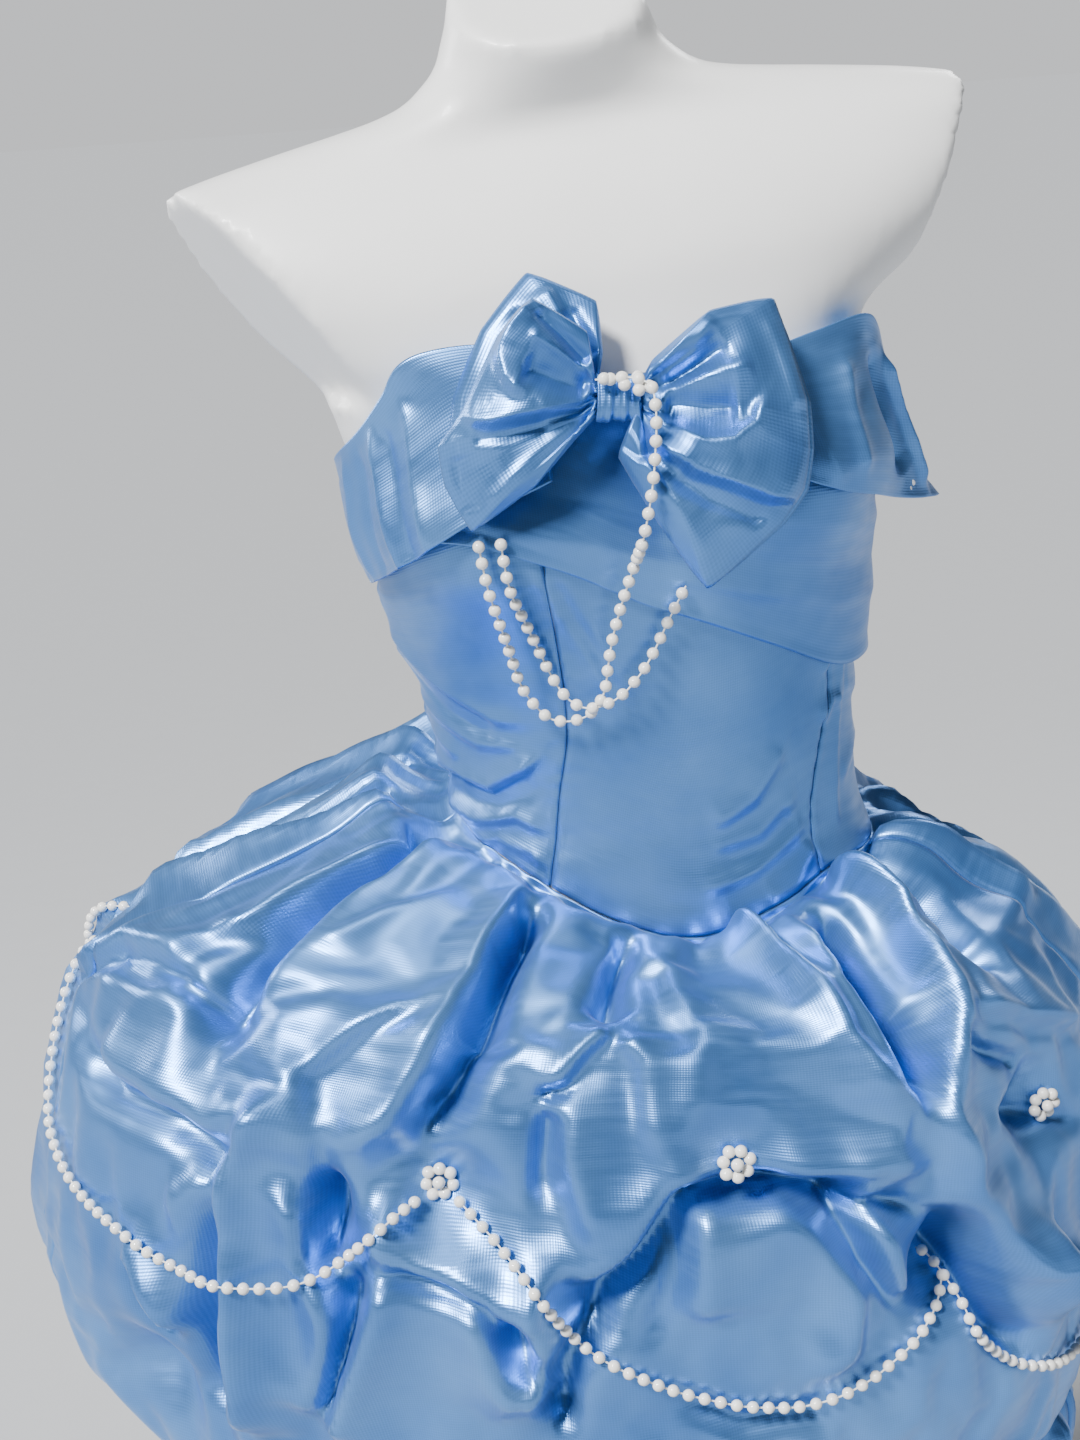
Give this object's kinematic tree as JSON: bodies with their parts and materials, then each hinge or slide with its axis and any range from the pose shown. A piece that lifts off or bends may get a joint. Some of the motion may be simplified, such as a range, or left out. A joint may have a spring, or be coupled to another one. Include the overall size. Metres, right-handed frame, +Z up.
{
  "type": "short homecoming dress on a limbless torso dress form with a pole and round base",
  "caption": "Strapless short dress of pale blue satin with a bow, pearl swags and a gathered pick-up skirt, on a white torso form with a pole and round base.",
  "frame": {"origin": "centre of the round base's underside, on the floor", "axes": "+Z up along the pole, -Y towards the front of the dress, +X towards the wearer's left"},
  "size_m": [0.6555, 0.514, 1.5165],
  "materials": {
    "satin": "glossy satin",
    "pearl": "pearl",
    "form_shell": "glossy white",
    "stand": "white gloss paint"
  },
  "bodies": {
    "root": {"bodice_front": "satin", "bodice_side_right": "satin", "bodice_side_left": "satin", "bodice_back_left": "satin", "bodice_back_right": "satin", "bust_drape": "satin", "collar_right": "satin", "collar_left": "satin", "collar_back": "satin", "bow_right_back": "satin", "bow_right_front": "satin", "bow_left_back": "satin", "bow_left_front": "satin", "bow_knot": "satin", "skirt_front": "satin", "skirt_side_left": "satin", "skirt_back_left": "satin", "skirt_back_right": "satin", "pearl_bow_strand_1": "pearl", "pearl_bow_strand_2": "pearl", "pearl_garland_1": "pearl", "pearl_garland_2": "pearl", "pearl_garland_3": "pearl", "pearl_garland_4": "pearl", "pearl_garland_5": "pearl", "pearl_garland_6": "pearl", "pearl_garland_7": "pearl", "pearl_flower_1": "pearl", "pearl_flower_2": "pearl", "pearl_flower_3": "pearl", "pearl_flower_4": "pearl", "pearl_flower_5": "pearl", "pearl_flower_6": "pearl", "pearl_flower_7": "pearl", "pearl_flower_8": "pearl", "form_torso": "form_shell", "stand_pole": "stand", "stand_base": "stand"}
  },
  "joints": []
}
